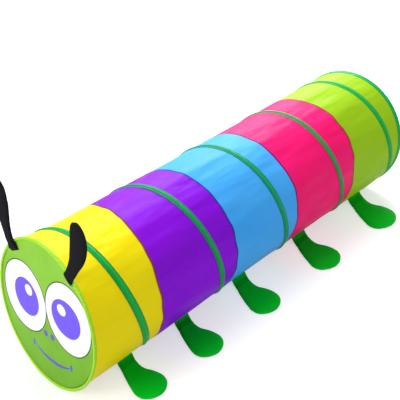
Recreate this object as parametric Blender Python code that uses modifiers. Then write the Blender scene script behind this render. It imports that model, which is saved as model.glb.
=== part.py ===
"""A pop-up crawl tunnel for children, in the shape of a friendly bug.

Five cloth sections hang on a coil of spring steel that runs in a sewn casing. A hoop in a bound edge holds
each end open. The head hoop carries a cloth face: a header that is sewn in, and below it a door flap.
The tunnel lies along Y, with the face at -Y and the open tail at +Y, and up is +Z. The origin is on the
floor under the middle of its overall length. Lengths are in metres.
"""
import math

import bmesh
import bpy
import numpy as np
from mathutils import Matrix, Vector

# The cloth tube. Its facets meet at the angles of the ring grid, so that all round pieces have like flats.
TUBE_RADIUS = 0.237
CLOTH = 0.001
SECTION_LENGTHS = {"yellow": 0.278, "purple": 0.383, "blue": 0.366, "pink": 0.397, "lime": 0.348}
FACETS = 32
YELLOW_ROWS = 6
GAP = 0.0003

# The head end is a little wider than the tube, and turned so that its +X side stands further forward.
HEAD_FLARE = 0.011
HEAD_TURN = math.radians(11.5)

# The first seam leans: its middle lies this much nearer to the tail than the section's length puts it, and it
# is turned and tilted. The yellow cloth's rows before this share of its length don't lean.
LEAN_MIDDLE = 0.058
LEAN_TURN = math.radians(14.6)
LEAN_TILT = math.radians(5.1)
LEAN_START_SHARE = 0.96

# The coil of spring wire. Its turns lean, and they close up a little towards the tail.
WIRE = 0.003
COIL_START = 0.134
COIL_PITCH = 0.394
COIL_TIGHTENING = 0.0035
COIL_LEAN = 0.0535
COIL_LEAN_ANGLE = math.radians(20)
COIL_MOST_TURNS = 6

# The end hoops, each a bent wire whose two ends meet in a sleeve
HOOP_JOINT = 0.001
SLEEVE_WALL = 0.0018
SLEEVE_LENGTH = 0.026
SLEEVE_SIDES = 12

# The casing tape that is sewn over the coil
CASING_WIDTH = 0.028
CASING_TAPE = 0.0006
CASING_EASE = 0.0005
CASING_WALL_ANGLE = math.radians(35)
CASING_LEAST_HEM = 0.0005

# The bindings that close round the end hoops. The head's has a narrow hem.
BINDING_TAPE = 0.001
BINDING_HEMS = {"head": 0.008, "tail": 0.016}
BINDING_SIDES = 6

# The face, in the plane of the head hoop. It is rolled a little, so that its +X side is the higher one.
FACE_CLOTH = 0.0015
FACE_ROLL = math.radians(3.5)
FACE_HINGE_HEIGHT = 0.156
FLAP_CLEARANCE = 0.003
FLAP_CORNER = 0.008

# The two antennae: soft black pads sewn on the header. Their seats are shares of the face's radius, across
# and up, and each leans outward by its own splay at its base and tip. A row of the pad's shares is the
# place along, the breadth and the thickness.
ANTENNA_SEAT_SHARES = {"right": (0.60, 0.73), "left": (0.54, 0.72)}
ANTENNA_SPLAYS = {"right": (math.radians(42), math.radians(3)), "left": (math.radians(24), math.radians(-2))}
ANTENNA_LENGTH = 0.240
ANTENNA_BREADTH = 0.085
ANTENNA_THICKNESS = 0.005
ANTENNA_CLIMB = 0.012
ANTENNA_SHARES = (
    (0.0, 0.52, 1.0),
    (0.07, 0.52, 1.0),
    (0.20, 0.54, 1.0),
    (0.36, 0.66, 1.0),
    (0.50, 0.86, 1.0),
    (0.64, 1.0, 1.0),
    (0.78, 0.97, 1.0),
    (0.89, 0.78, 0.9),
    (0.96, 0.50, 0.7),
    (1.0, 0.20, 0.4),
)

# The ten feet: flat pads, each sewn along one edge. They are larger and more bent towards the tail. A row of
# shares is the place along, the breadth and how far the foot bends to the head. The first left foot is sewn
# further back than the right one, since the yellow cloth is longer on that side.
FOOT_LENGTH = 0.244
FOOT_BREADTH = 0.144
FOOT_THICKNESS = 0.004
FOOT_SEAM = 0.0012
FOOT_ROOT_FACETS = 2
FOOT_PLACE_SHARES = {"yellow": 0.83, "purple": 0.643, "blue": 0.541, "pink": 0.556, "lime": 0.664}
FIRST_LEFT_FOOT_SHARE = 1.10
FOOT_SIZE_SHARES = {"yellow": 0.95, "purple": 0.98, "blue": 1.0, "pink": 1.04, "lime": 1.08}
FOOT_BREADTH_SHARES = {"yellow": 1.0, "purple": 1.0, "blue": 1.04, "pink": 1.08, "lime": 1.12}
FOOT_BEND_SHARES = {"yellow": 0.85, "purple": 0.92, "blue": 1.0, "pink": 1.06, "lime": 1.13}
FOOT_DROP_SHARE = 0.13
FOOT_SHARES = (
    (0.0, 0.53, 0.0),
    (0.06, 0.53, 0.02),
    (0.13, 0.54, 0.06),
    (0.25, 0.56, 0.14),
    (0.42, 0.67, 0.23),
    (0.58, 0.88, 0.27),
    (0.74, 1.0, 0.32),
    (0.87, 0.88, 0.36),
    (0.95, 0.62, 0.38),
    (1.0, 0.26, 0.385),
)

# How finely round faces are shaded and merged
ROUND_ANGLE = math.radians(30)
PAD_ANGLE = math.radians(50)
MERGE = 0.0001

# Sizes worked out from the ones above
FACET_ANGLE = 2 * math.pi / FACETS
FLAT_SHARE = math.cos(FACET_ANGLE / 2)
CLOTH_LENGTH = sum(SECTION_LENGTHS.values())
SLEEVE_BORE = WIRE / 2 + GAP
SLEEVE_RADIUS = SLEEVE_BORE + SLEEVE_WALL
BULB_ROOM = SLEEVE_RADIUS + GAP
BULB_REACH = BULB_ROOM + BINDING_TAPE
BULB_CORNER = BULB_REACH / math.cos(math.pi / BINDING_SIDES)
WIRE_RISE = GAP + WIRE / 2
CASING_ROOM = WIRE_RISE + WIRE / 2 + CASING_EASE
REST_RISE = max(BULB_REACH - CLOTH / 2, CASING_ROOM + CASING_TAPE)
HEAD_RADIUS = TUBE_RADIUS + HEAD_FLARE
FACE_RADIUS = HEAD_RADIUS - CLOTH / 2 - BULB_REACH


def head_axes():
    """The face's axes: across to +X, up, and outward from the tunnel."""
    level = Vector((math.cos(HEAD_TURN), -math.sin(HEAD_TURN), 0))
    outward = level.cross(Vector((0, 0, 1)))
    across = Matrix.Rotation(FACE_ROLL, 3, outward) @ level
    return Matrix((across, outward.cross(across), outward)).transposed()


def antenna_rings(name):
    """The rounds of points of an antenna, in the face's axes, from its sewn edge to its tip."""
    back_low = FACE_CLOTH / 2 + GAP
    back_high = BULB_CORNER + GAP
    across, up = (share * FACE_RADIUS for share in ANTENNA_SEAT_SHARES[name])
    base_splay, tip_splay = ANTENNA_SPLAYS[name]
    side = 1 if name == "right" else -1
    before = 0
    rings = []
    for along_share, breadth_share, thickness_share in ANTENNA_SHARES:
        splay = base_splay + (tip_splay - base_splay) * along_share
        step = (along_share - before) * ANTENNA_LENGTH
        before = along_share
        across += step * math.sin(splay)
        up += step * math.cos(splay)
        climbed = min(along_share * ANTENNA_LENGTH / ANTENNA_CLIMB, 1)
        middle = back_low + (back_high - back_low) * climbed + ANTENNA_THICKNESS / 2
        half = breadth_share * ANTENNA_BREADTH / 2
        flat = max(half - ANTENNA_THICKNESS / 2, half / 2)
        thick = thickness_share * ANTENNA_THICKNESS / 2
        section = ((-half, 0), (-flat, thick), (flat, thick), (half, 0), (flat, -thick), (-flat, -thick))
        ring = []
        for wide, deep in section:
            place = (side * (across + wide * math.cos(splay)), up - wide * math.sin(splay), middle + deep)
            ring.append(Vector(place))
        rings.append(ring)
    return rings


# Places along the tunnel. The antenna that stands further forward is the front of the whole.
FRONT_REACH = -min((head_axes() @ point).y for ring in antenna_rings("right") for point in ring)
HEAD_AT = (FRONT_REACH - BULB_CORNER - CLOTH_LENGTH) / 2
TAIL_AT = HEAD_AT + CLOTH_LENGTH
HEAD_CENTRE = Vector((0, HEAD_AT, (HEAD_RADIUS + REST_RISE) * FLAT_SHARE))
HEM_LOW = HEAD_AT + BINDING_HEMS["head"] + GAP
HEM_HIGH = TAIL_AT - BINDING_HEMS["tail"] - GAP


def head_point(across, up, outward):
    """A place in the face's axes, from the middle of the head hoop."""
    return HEAD_CENTRE + head_axes() @ Vector((across, up, outward))


def section_span(name):
    """Where a section starts and ends along the tube."""
    names = list(SECTION_LENGTHS)
    start = HEAD_AT + sum(SECTION_LENGTHS[before] for before in names[: names.index(name)])
    return start, start + SECTION_LENGTHS[name]


def head_share(along):
    """1 at the head hoop and in front of it, fading to 0 at the first seam."""
    share = (section_span("yellow")[1] - along) / SECTION_LENGTHS["yellow"]
    return min(max(share, 0), 1)


def tube_point(theta, along, height):
    """A point at an angle from the crown (positive to +X), so far along the tube, so high over the cloth."""
    share = head_share(along)
    cloth_radius = TUBE_RADIUS + HEAD_FLARE * share**2
    turn = HEAD_TURN * share
    side = (cloth_radius + height) * math.sin(theta)
    rise = (cloth_radius + height) * math.cos(theta)
    middle = (cloth_radius + REST_RISE) * FLAT_SHARE
    return Vector((side * math.cos(turn), along - side * math.sin(turn), middle + rise))


def grid_angle(step):
    """The angles at which the facets meet. One facet lies flat at the crown and one at the floor."""
    return (step + 0.5) * FACET_ANGLE


def seam_lean(theta):
    """How far the first seam leans toward the tail, at an angle from the crown."""
    across = TUBE_RADIUS * math.sin(theta)
    up = TUBE_RADIUS * math.cos(theta)
    return LEAN_MIDDLE - math.tan(LEAN_TURN) * across - math.tan(LEAN_TILT) * up


def tube_ring(along, height, leaning=False):
    """One round of points on the ring grid, square to the tube or leaning with the first seam."""
    angles = [grid_angle(step) for step in range(FACETS)]
    return [tube_point(theta, along + leaning * seam_lean(theta), height) for theta in angles]


def finish(name, colour, roughness, metallic=0.0):
    """A plain surface of one colour."""
    material = bpy.data.materials.new(name)
    material.use_nodes = True
    shader = material.node_tree.nodes["Principled BSDF"]
    shader.inputs["Base Color"].default_value = (*colour, 1)
    shader.inputs["Roughness"].default_value = roughness
    shader.inputs["Metallic"].default_value = metallic
    material.diffuse_color = (*colour, 1)
    return material


def carrier(name, place):
    """An empty that carries the pieces that move together."""
    empty = bpy.data.objects.new(name, None)
    empty.location = place
    PARTS.objects.link(empty)
    return empty


def place_of(parent):
    """Where a carrier stands, or the origin where a piece has none."""
    return parent.location.copy() if parent else Vector((0, 0, 0))


def add_piece(name, data, material, parent, origin):
    """Adds a piece whose points were made about its origin, which is a place in the world."""
    data.materials.append(material)
    piece = bpy.data.objects.new(name, data)
    piece.parent = parent
    piece.location = origin - place_of(parent)
    PARTS.objects.link(piece)
    return piece


def mesh_of(name, builder, smooth_angle):
    """A mesh from a bmesh, with its round faces shaded smooth."""
    mesh = bpy.data.meshes.new(name)
    builder.to_mesh(mesh)
    builder.free()
    mesh.shade_smooth()
    mesh.set_sharp_from_angle(angle=smooth_angle)
    return mesh


def skin(builder, rows, round_rows):
    """Joins rows of points with faces, and gives back the rows' vertices."""
    grid = [[builder.verts.new(point) for point in row] for row in rows]
    steps = len(rows[0]) if round_rows else len(rows[0]) - 1
    for low, high in zip(grid, grid[1:]):
        for step in range(steps):
            after = (step + 1) % len(low)
            builder.faces.new((low[step], low[after], high[after], high[step]))
    return grid


def sheet(name, rows, round_rows, thickness, side, material, parent=None):
    """A sheet through rows of points, thickened outwards (side 1) or inwards (side -1)."""
    origin = place_of(parent)
    builder = bmesh.new()
    skin(builder, [[point - origin for point in row] for row in rows], round_rows)
    piece = add_piece(name, mesh_of(name, builder, ROUND_ANGLE), material, parent, origin)
    solidify = piece.modifiers.new("thickness", "SOLIDIFY")
    solidify.thickness = thickness
    solidify.offset = side
    solidify.use_even_offset = True


def loft(name, rings, material, parent, origin):
    """A closed pad through rounds of points that all have the same count."""
    builder = bmesh.new()
    grid = skin(builder, [[point - origin for point in ring] for ring in rings], True)
    builder.faces.new(grid[0])
    builder.faces.new(grid[-1])
    bmesh.ops.recalc_face_normals(builder, faces=builder.faces)
    add_piece(name, mesh_of(name, builder, PAD_ANGLE), material, parent, origin)


def wire(name, points, material, parent=None):
    """A round wire along a polyline, with closed ends."""
    origin = place_of(parent)
    curve = bpy.data.curves.new(name, "CURVE")
    curve.dimensions = "3D"
    curve.bevel_depth = WIRE / 2
    curve.bevel_resolution = 1
    curve.use_fill_caps = True
    spline = curve.splines.new("POLY")
    spline.points.add(len(points) - 1)
    for control, point in zip(spline.points, points):
        control.co = (*(point - origin), 1)
    add_piece(name, curve, material, parent, origin)


def least_gap(points):
    """The least clear distance between the wire's stretches that are more than half a turn apart."""
    places = np.array([tuple(point) for point in points])
    apart = np.linalg.norm(places[:, None] - places[None, :], axis=2)
    order = np.arange(len(points))
    far = np.abs(order[:, None] - order[None, :]) > FACETS // 2
    return apart[far].min() - WIRE


def build_panel(name, material, parent):
    """The cloth of one section, between its seams. Where it meets a hoop, it ends inside the binding."""
    start, end = section_span(name)
    low = start + (BULB_REACH if name == "yellow" else GAP / 2)
    high = end - (BULB_REACH if name == "lime" else GAP / 2)
    shares = [0, 1]
    if name == "yellow":
        shares = [row / YELLOW_ROWS for row in range(YELLOW_ROWS)] + [LEAN_START_SHARE, 1]
    leaning_share = {"yellow": 1, "purple": 0}.get(name)
    rings = [tube_ring(low + (high - low) * share, 0, share == leaning_share) for share in shares]
    sheet(f"panel_{name}", rings, True, CLOTH, -1, material, parent)


def coil_along(turns):
    """How far along the tube the coil is, after so many turns from its first crown."""
    climb = turns * (COIL_PITCH - COIL_TIGHTENING * turns)
    return HEAD_AT + COIL_START + climb - COIL_LEAN * math.sin(2 * math.pi * turns + COIL_LEAN_ANGLE)


def bump_halves():
    """Half the width of the casing's bump over the wire, at its top and at its foot."""
    reach = WIRE / 2 + CASING_EASE
    slope = math.sin(CASING_WALL_ANGLE)
    top = reach * (1 - slope) / math.cos(CASING_WALL_ANGLE)
    foot = (reach + WIRE / 2 * slope) / math.cos(CASING_WALL_ANGLE)
    return top, foot


def coil_stations():
    """The (angle, along) places on the ring grid where the coil's casing is clear of both bindings."""
    room = bump_halves()[1] + CASING_LEAST_HEM
    angles = [grid_angle(step) for step in range(-FACETS, FACETS * COIL_MOST_TURNS)]
    places = [(angle, coil_along(angle / (2 * math.pi))) for angle in angles]
    return [(angle, along) for angle, along in places if HEM_LOW + room <= along <= HEM_HIGH - room]


def build_coil(steel):
    """The spring wire, which lies on the outside of the cloth."""
    points = [tube_point(angle, along, WIRE_RISE) for angle, along in coil_stations()]
    wire("spring_wire", points, steel)
    print(f"spring_wire: {len(points)} points, least gap to itself {least_gap(points):.4f} m")


def build_casing(tape):
    """The tape over the spring wire: a hem each side of a bump, cut short where it nears a binding."""
    stations = coil_stations()
    top, foot = bump_halves()
    bump = ((-foot, GAP), (-top, CASING_ROOM), (top, CASING_ROOM), (foot, GAP))
    rows = [[tube_point(angle, max(along - CASING_WIDTH / 2, HEM_LOW), GAP) for angle, along in stations]]
    for offset, height in bump:
        rows.append([tube_point(angle, along + offset, height) for angle, along in stations])
    rows.append([tube_point(angle, min(along + CASING_WIDTH / 2, HEM_HIGH), GAP) for angle, along in stations])
    sheet("wire_casing", rows, False, CASING_TAPE, 1, tape)


def build_hoop(name, at, steel, plastic, parent=None):
    """An end hoop, whose ends meet on the floor side, and the sleeve that they are pushed into."""
    corners = [tube_point(grid_angle(step + FACETS // 2), at, -CLOTH / 2) for step in range(FACETS)]
    middle = (corners[0] + corners[-1]) / 2
    along_flat = (corners[0] - corners[-1]).normalized()
    half_joint = along_flat * HOOP_JOINT / 2
    wire(f"{name}_hoop", [middle + half_joint, *corners, middle - half_joint], steel, parent)
    builder = bmesh.new()
    half = SLEEVE_LENGTH / 2
    profile = [(SLEEVE_RADIUS, half), (SLEEVE_RADIUS, -half), (SLEEVE_BORE, -half), (SLEEVE_BORE, half)]
    verts = [builder.verts.new((radius, 0, up)) for radius, up in profile]
    for vert, after in zip(verts, verts[1:] + verts[:1]):
        builder.edges.new((vert, after))
    mesh = mesh_of(f"{name}_hoop_sleeve", builder, ROUND_ANGLE)
    sleeve = add_piece(f"{name}_hoop_sleeve", mesh, plastic, parent, middle)
    sleeve.rotation_euler = along_flat.to_track_quat("Z", "Y").to_euler()
    turned = sleeve.modifiers.new("turned", "SCREW")
    turned.steps = SLEEVE_SIDES
    turned.render_steps = SLEEVE_SIDES
    turned.use_merge_vertices = True
    turned.merge_threshold = MERGE


def build_binding(name, at, inward, material, parent=None):
    """The tape that closes round an end hoop and grips the edge of the cloth between its two hems."""
    corner = BULB_ROOM / math.cos(math.pi / BINDING_SIDES)
    hem = BINDING_HEMS[name]
    profile = [(hem, -CLOTH - GAP), (BULB_REACH, -CLOTH - GAP)]
    for side in range(1, BINDING_SIDES):
        angle = -2 * math.pi * side / BINDING_SIDES
        profile.append((corner * math.cos(angle), corner * math.sin(angle) - CLOTH / 2))
    profile += [(BULB_REACH, GAP), (hem, GAP)]
    rows = [tube_ring(at + inward * reach, height) for reach, height in profile]
    if inward < 0:
        rows.reverse()
    sheet(f"{name}_binding", rows, True, BINDING_TAPE, 1, material, parent)


def cut_face(radius, up, upper):
    """The outline of a round face on one side of a level cut. Its corners lie on the ring grid."""
    angles = [grid_angle(step) + FACE_ROLL for step in range(FACETS)]
    corners = [(radius * math.sin(angle), radius * math.cos(angle)) for angle in angles]
    outline = []
    for corner, after in zip(corners, corners[1:] + corners[:1]):
        kept = (corner[1] > up) == upper
        if kept:
            outline.append(corner)
        if kept != ((after[1] > up) == upper):
            share = (up - corner[1]) / (after[1] - corner[1])
            outline.append((corner[0] + (after[0] - corner[0]) * share, up))
    return outline


def build_plate(name, outline, material, parent):
    """A flat piece of the face, with its origin on the hinge line."""
    curve = bpy.data.curves.new(name, "CURVE")
    curve.dimensions = "2D"
    curve.fill_mode = "BOTH"
    curve.extrude = FACE_CLOTH / 2
    spline = curve.splines.new("POLY")
    spline.points.add(len(outline) - 1)
    for control, (across, up) in zip(spline.points, outline):
        control.co = (across, up - FACE_HINGE_HEIGHT, 0, 1)
    spline.use_cyclic_u = True
    piece = add_piece(name, curve, material, parent, head_point(0, FACE_HINGE_HEIGHT, 0))
    piece.rotation_euler = head_axes().to_euler()


def build_face(green, parent):
    """The header, which fits the round of the binding, and the door flap, which swings out under it."""
    header = cut_face(FACE_RADIUS - GAP / FLAT_SHARE, FACE_HINGE_HEIGHT + GAP / 2, True)
    build_plate("face_header", header, green, parent)
    radius = FACE_RADIUS - FLAP_CLEARANCE
    top = FACE_HINGE_HEIGHT - GAP / 2
    top_across = [across for across, up in cut_face(radius, top, False) if up == top]
    below = cut_face(radius, top - FLAP_CORNER, False)
    corners = [(max(top_across) - FLAP_CORNER, top), (min(top_across) + FLAP_CORNER, top)]
    edges = [point for point in below if point[1] == top - FLAP_CORNER]
    first = below.index(max(edges))
    build_plate("face_flap", corners[::-1] + below[first:] + below[:first], green, parent)


def build_antenna(name, felt, parent):
    """A pad that stands on the header and over the bound rim. Its origin is at its sewn edge's low corner."""
    rings = antenna_rings(name)
    low = min(rings[0], key=lambda point: point.y)
    back = min(point.z for point in rings[0])
    origin = head_point(low.x, low.y, back)
    loft(f"antenna_{name}", [[head_point(*point) for point in ring] for ring in rings], felt, parent, origin)


def foot_seat(along):
    """The middle of the flank's flat that a foot is sewn to, at +X, and that flat's outward direction."""
    angle = math.pi - FOOT_ROOT_FACETS * FACET_ANGLE
    corners = [tube_point(angle + side * FACET_ANGLE / 2, along, 0) for side in (-1, 1)]
    return (corners[0] + corners[1]) / 2, Vector((math.sin(angle), 0, math.cos(angle)))


def build_foot(name, section, side, satin, parent):
    """A flat pad on the floor, whose thin inner edge climbs to its seam on the flank. Its origin is there."""
    start, end = section_span(section)
    place_share = FIRST_LEFT_FOOT_SHARE if name == "foot_left_1" else FOOT_PLACE_SHARES[section]
    neck = start + (end - start) * place_share
    length = FOOT_LENGTH * FOOT_SIZE_SHARES[section]
    breadth = FOOT_BREADTH * FOOT_SIZE_SHARES[section] * FOOT_BREADTH_SHARES[section]
    bend = length * FOOT_BEND_SHARES[section]
    seat, outward = foot_seat(neck)
    root = seat + outward * (GAP + FOOT_SEAM / 2)
    rings = []
    for along_share, breadth_share, bend_share in FOOT_SHARES:
        lowered = min(along_share / FOOT_DROP_SHARE, 1)
        bottom = (root.z - FOOT_SEAM / 2) * (1 - lowered)
        thickness = FOOT_SEAM + (FOOT_THICKNESS - FOOT_SEAM) * lowered
        if along_share == 1:
            thickness = FOOT_SEAM
        across = side * (root.x + length * along_share)
        middle = neck - bend * bend_share
        half = breadth * breadth_share / 2
        flat = half - thickness / 2
        low = [(flat, 0), (-flat, 0)]
        high = [(-half, thickness / 2), (-flat, thickness), (flat, thickness), (half, thickness / 2)]
        rings.append([Vector((across, middle + wide, bottom + up)) for wide, up in high + low])
    loft(name, rings, satin, parent, Vector((side * root.x, neck, root.z)))


for old in list(bpy.data.objects):
    bpy.data.objects.remove(old, do_unlink=True)
PARTS = bpy.data.collections.new("play_tunnel")
bpy.context.scene.collection.children.link(PARTS)

STEEL = finish("spring_steel", (0.35, 0.36, 0.38), 0.35, 1.0)
PLASTIC = finish("sleeve_plastic", (0.03, 0.03, 0.03), 0.45)
LIME_TAPE = finish("lime_binding", (0.42, 0.86, 0.05), 0.5)
GREEN_TAPE = finish("green_tape", (0.01, 0.42, 0.10), 0.5)
FACE_GREEN = finish("face_cloth", (0.27, 0.56, 0.05), 0.55)
BLACK_FELT = finish("antenna_felt", (0.01, 0.01, 0.014), 0.85)
FOOT_SATIN = finish("foot_satin", (0.0, 0.28, 0.02), 0.45)
PANEL_COLOURS = {
    "yellow": (0.86, 0.70, 0.02),
    "purple": (0.22, 0.02, 0.72),
    "blue": (0.10, 0.38, 0.90),
    "pink": (0.86, 0.04, 0.20),
    "lime": (0.46, 0.70, 0.04),
}

for number, section_name in enumerate(SECTION_LENGTHS, 1):
    section = carrier(f"{section_name}_section", Vector((0, sum(section_span(section_name)) / 2, 0)))
    cloth = finish(f"{section_name}_cloth", PANEL_COLOURS[section_name], 0.45)
    build_panel(section_name, cloth, section)
    build_foot(f"foot_right_{number}", section_name, 1, FOOT_SATIN, section)
    build_foot(f"foot_left_{number}", section_name, -1, FOOT_SATIN, section)
build_coil(STEEL)
build_casing(GREEN_TAPE)
build_hoop("tail", TAIL_AT, STEEL, PLASTIC)
build_binding("tail", TAIL_AT, -1, GREEN_TAPE)
head = carrier("head", HEAD_CENTRE)
build_hoop("head", HEAD_AT, STEEL, PLASTIC, head)
build_binding("head", HEAD_AT, 1, LIME_TAPE, head)
build_face(FACE_GREEN, head)
build_antenna("right", BLACK_FELT, head)
build_antenna("left", BLACK_FELT, head)
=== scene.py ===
import math

import bmesh
import bpy
import numpy as np
from mathutils import Matrix, Vector


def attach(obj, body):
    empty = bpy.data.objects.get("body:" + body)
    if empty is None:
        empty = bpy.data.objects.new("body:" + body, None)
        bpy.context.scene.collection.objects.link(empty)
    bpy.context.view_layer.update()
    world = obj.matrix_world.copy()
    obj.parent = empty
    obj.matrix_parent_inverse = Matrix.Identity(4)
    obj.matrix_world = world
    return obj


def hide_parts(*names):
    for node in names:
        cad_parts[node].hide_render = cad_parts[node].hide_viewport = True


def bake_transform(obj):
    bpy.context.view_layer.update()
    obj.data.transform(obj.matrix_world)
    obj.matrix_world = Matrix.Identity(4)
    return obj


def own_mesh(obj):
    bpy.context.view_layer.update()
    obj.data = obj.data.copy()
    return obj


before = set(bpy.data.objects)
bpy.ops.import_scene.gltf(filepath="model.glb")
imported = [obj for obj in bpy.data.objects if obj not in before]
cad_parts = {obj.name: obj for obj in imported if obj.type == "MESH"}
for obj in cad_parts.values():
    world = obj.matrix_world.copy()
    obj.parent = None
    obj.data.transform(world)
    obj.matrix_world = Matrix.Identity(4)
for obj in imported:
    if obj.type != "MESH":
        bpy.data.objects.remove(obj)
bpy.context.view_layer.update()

# The camera stands to the right of the face and above it, and looks down on the tunnel on a pale floor.
# Four wide soft lamps hang round the tunnel, and the world lights it evenly from all round.
VIEW_TARGET = Vector((0, 0.01726, 0.24))
VIEW_DISTANCE = 4.25936
VIEW_AZIMUTH = 0.642898
VIEW_ELEVATION = 0.490611
LENS_MM = 107.18
SENSOR_MM = 36
VIEW_SHIFT = (-0.0459, 0.0237)
WHITE = (1, 1, 1, 1)
FLOOR_SIDE = 60
FLOOR_PALE = (0.62, 0.62, 0.62, 1)
FLOOR_GLOW = 0.55
WORLD_STRENGTH = 0.45
BACKDROP_STRENGTH = 1.0
# Each lamp: its place, the point that it faces, its side and its power
LAMPS = {
    "top_lamp": ((-1.3, 1.1, 3.2), (0, 0.1, 0.2), 2.6, 104),
    "front_lamp": ((-0.4, -4.0, 1.9), (0, -0.7, 0.25), 1.6, 80),
    "side_lamp": ((4.2, 0.6, 1.7), (0.2, 0, 0.1), 2.4, 30),
    "back_lamp": ((-1.9, 2.7, 1.9), (0, 0.1, 0.4), 1.4, 88),
}

level = math.cos(VIEW_ELEVATION)
scene = bpy.context.scene
toward_camera = Vector((
    math.sin(VIEW_AZIMUTH) * level, -math.cos(VIEW_AZIMUTH) * level, math.sin(VIEW_ELEVATION)
))


def added(name, data):
    """A new object of the scene."""
    made = bpy.data.objects.new(name, data)
    scene.collection.objects.link(made)
    return made


camera = added("camera", bpy.data.cameras.new("camera"))
camera.location = VIEW_TARGET + VIEW_DISTANCE * toward_camera
camera.rotation_euler = toward_camera.to_track_quat("Z", "Y").to_euler()
camera.data.sensor_width = SENSOR_MM
camera.data.lens = LENS_MM
camera.data.shift_x, camera.data.shift_y = VIEW_SHIFT
scene.camera = camera
scene.view_settings.view_transform = "Standard"

for lamp_name, (place, aim, side, power) in LAMPS.items():
    lamp = added(lamp_name, bpy.data.lights.new(lamp_name, "AREA"))
    lamp.data.shape = "SQUARE"
    lamp.data.size = side
    lamp.data.energy = power
    lamp.location = place
    lamp.rotation_euler = (Vector(place) - Vector(aim)).to_track_quat("Z", "Y").to_euler()


def add_node(tree, kind, inputs, **settings):
    """Adds a shader node. An input is a value, or the output socket that feeds it."""
    made = tree.nodes.new("ShaderNode" + kind)
    for key, value in settings.items():
        setattr(made, key, value)
    for key, value in inputs.items():
        if isinstance(value, bpy.types.NodeSocket):
            tree.links.new(value, made.inputs[key])
        else:
            made.inputs[key].default_value = value
    return made


def maths(tree, operation, *values, use_clamp=False):
    """One sum of a shader."""
    made = add_node(tree, "Math", dict(enumerate(values)), operation=operation, use_clamp=use_clamp)
    return made.outputs[0]


def seen_straight(tree):
    """1 for rays from the camera, and for those that a mirror or a clear surface passes on."""
    path = add_node(tree, "LightPath", {}).outputs
    through = maths(tree, "ADD", path["Is Glossy Ray"], path["Is Transmission Ray"])
    return maths(tree, "ADD", path["Is Camera Ray"], through, use_clamp=True)


world = bpy.data.worlds.new("pale_studio")
scene.world = world
world.use_nodes = True
world_tree = world.node_tree
world_tree.nodes.clear()
even_light = add_node(world_tree, "Background", {"Color": WHITE, "Strength": WORLD_STRENGTH})
white_backdrop = add_node(world_tree, "Background", {"Color": WHITE, "Strength": BACKDROP_STRENGTH})
world_light = add_node(world_tree, "MixShader", {
    0: seen_straight(world_tree), 1: even_light.outputs[0], 2: white_backdrop.outputs[0],
})
add_node(world_tree, "OutputWorld", {"Surface": world_light.outputs[0]})

floor_mesh = bpy.data.meshes.new("floor")
half = FLOOR_SIDE / 2
floor_corners = [(-half, -half, 0), (half, -half, 0), (half, half, 0), (-half, half, 0)]
floor_mesh.from_pydata(floor_corners, [], [(0, 1, 2, 3)])
floor = added("floor", floor_mesh)
floor_paint = bpy.data.materials.new("floor_paint")
floor_paint.use_nodes = True
floor_tree = floor_paint.node_tree
floor_tree.nodes.clear()
matt = add_node(floor_tree, "BsdfDiffuse", {"Color": FLOOR_PALE})
glow_share = maths(floor_tree, "MULTIPLY", seen_straight(floor_tree), FLOOR_GLOW)
glow = add_node(floor_tree, "Emission", {"Color": WHITE, "Strength": glow_share})
floor_light = add_node(floor_tree, "AddShader", {0: matt.outputs[0], 1: glow.outputs[0]})
add_node(floor_tree, "OutputMaterial", {"Surface": floor_light.outputs[0]})
floor_mesh.materials.append(floor_paint)

# The five cloth sections: thin woven polyester bands, sewn end to end with their seams turned inside.
# The coil holds the cloth out, so between its turns it sags in at the crown and folds along the flanks.
TUBE_RADIUS = 0.237
SECTION_LENGTHS = {"yellow": 0.278, "purple": 0.383, "blue": 0.366, "pink": 0.397, "lime": 0.348}
CLOTH_LENGTH = sum(SECTION_LENGTHS.values())
HEAD_AT = -0.85974
TAIL_AT = HEAD_AT + CLOTH_LENGTH
HEAD_FLARE = 0.011
HEAD_TURN = math.radians(11.5)
REST_RISE = 0.0044
# The solids are rounds of 32 flats that rest on one of them
FLAT_SHARE = math.cos(math.pi / 32)
FLOOR_CLEAR = 0.0003
CLOTH_THICKNESS = 0.0008
CLOTH_STEPS = 360
# The rows of a section's grid: how far apart, and how far the outermost one lies from a hoop
CLOTH_ROW = 0.0062
HOOP_ROW = 0.0049
COIL_START = 0.134
COIL_PITCH = 0.394
COIL_TIGHTENING = 0.0035
COIL_LEAN = 0.0535
COIL_LEAN_ANGLE = math.radians(20)
CASING_WIDTH = 0.028
BINDING_HEMS = {"head": 0.008, "tail": 0.016}
CROWN_SAG = 0.0016
# A bay of cloth as wide as this, between two turns of the casing, is fully slack
SLACK_BAY = 0.36
FOLD_DEPTH = 0.0021
# The folds' waves: depth, waves in a radian, start, slant across the bay, and a bend (reach, waves, start)
FOLD_WAVES = (
    (1.0, 4.3, 0.6, 1.1, (0.0, 0.0, 0.0)),
    (0.8, 7.9, 2.1, -1.7, (0.0, 0.0, 0.0)),
    (0.55, 13.7, 4.0, 2.4, (1.0, 3.1, 0.0)),
    (0.35, 22.3, 1.3, -3.1, (1.4, 2.3, 1.0)),
)
PUCKER_DEPTH = 0.00035
PUCKER_LENGTH = 0.017
PUCKER_REACH = 0.011
PUCKER_EDGE = 0.002
SEAM_WAVER = 0.0012
# The first seam leans: its middle lies so much nearer to the tail, and it is turned and tilted.
LEAN_MIDDLE = 0.058
LEAN_TURN = math.radians(14.6)
LEAN_TILT = math.radians(5.1)
# How each seam strays beside its lean: how far, how often in a round, and the angle where it is furthest
SEAM_STRAYS = {1: (0.0, 1, 0.0), 2: (0.007, 2, 1.75), 3: (0.007, 2, 1.55), 4: (0.006, 3, 0.84)}
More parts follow.
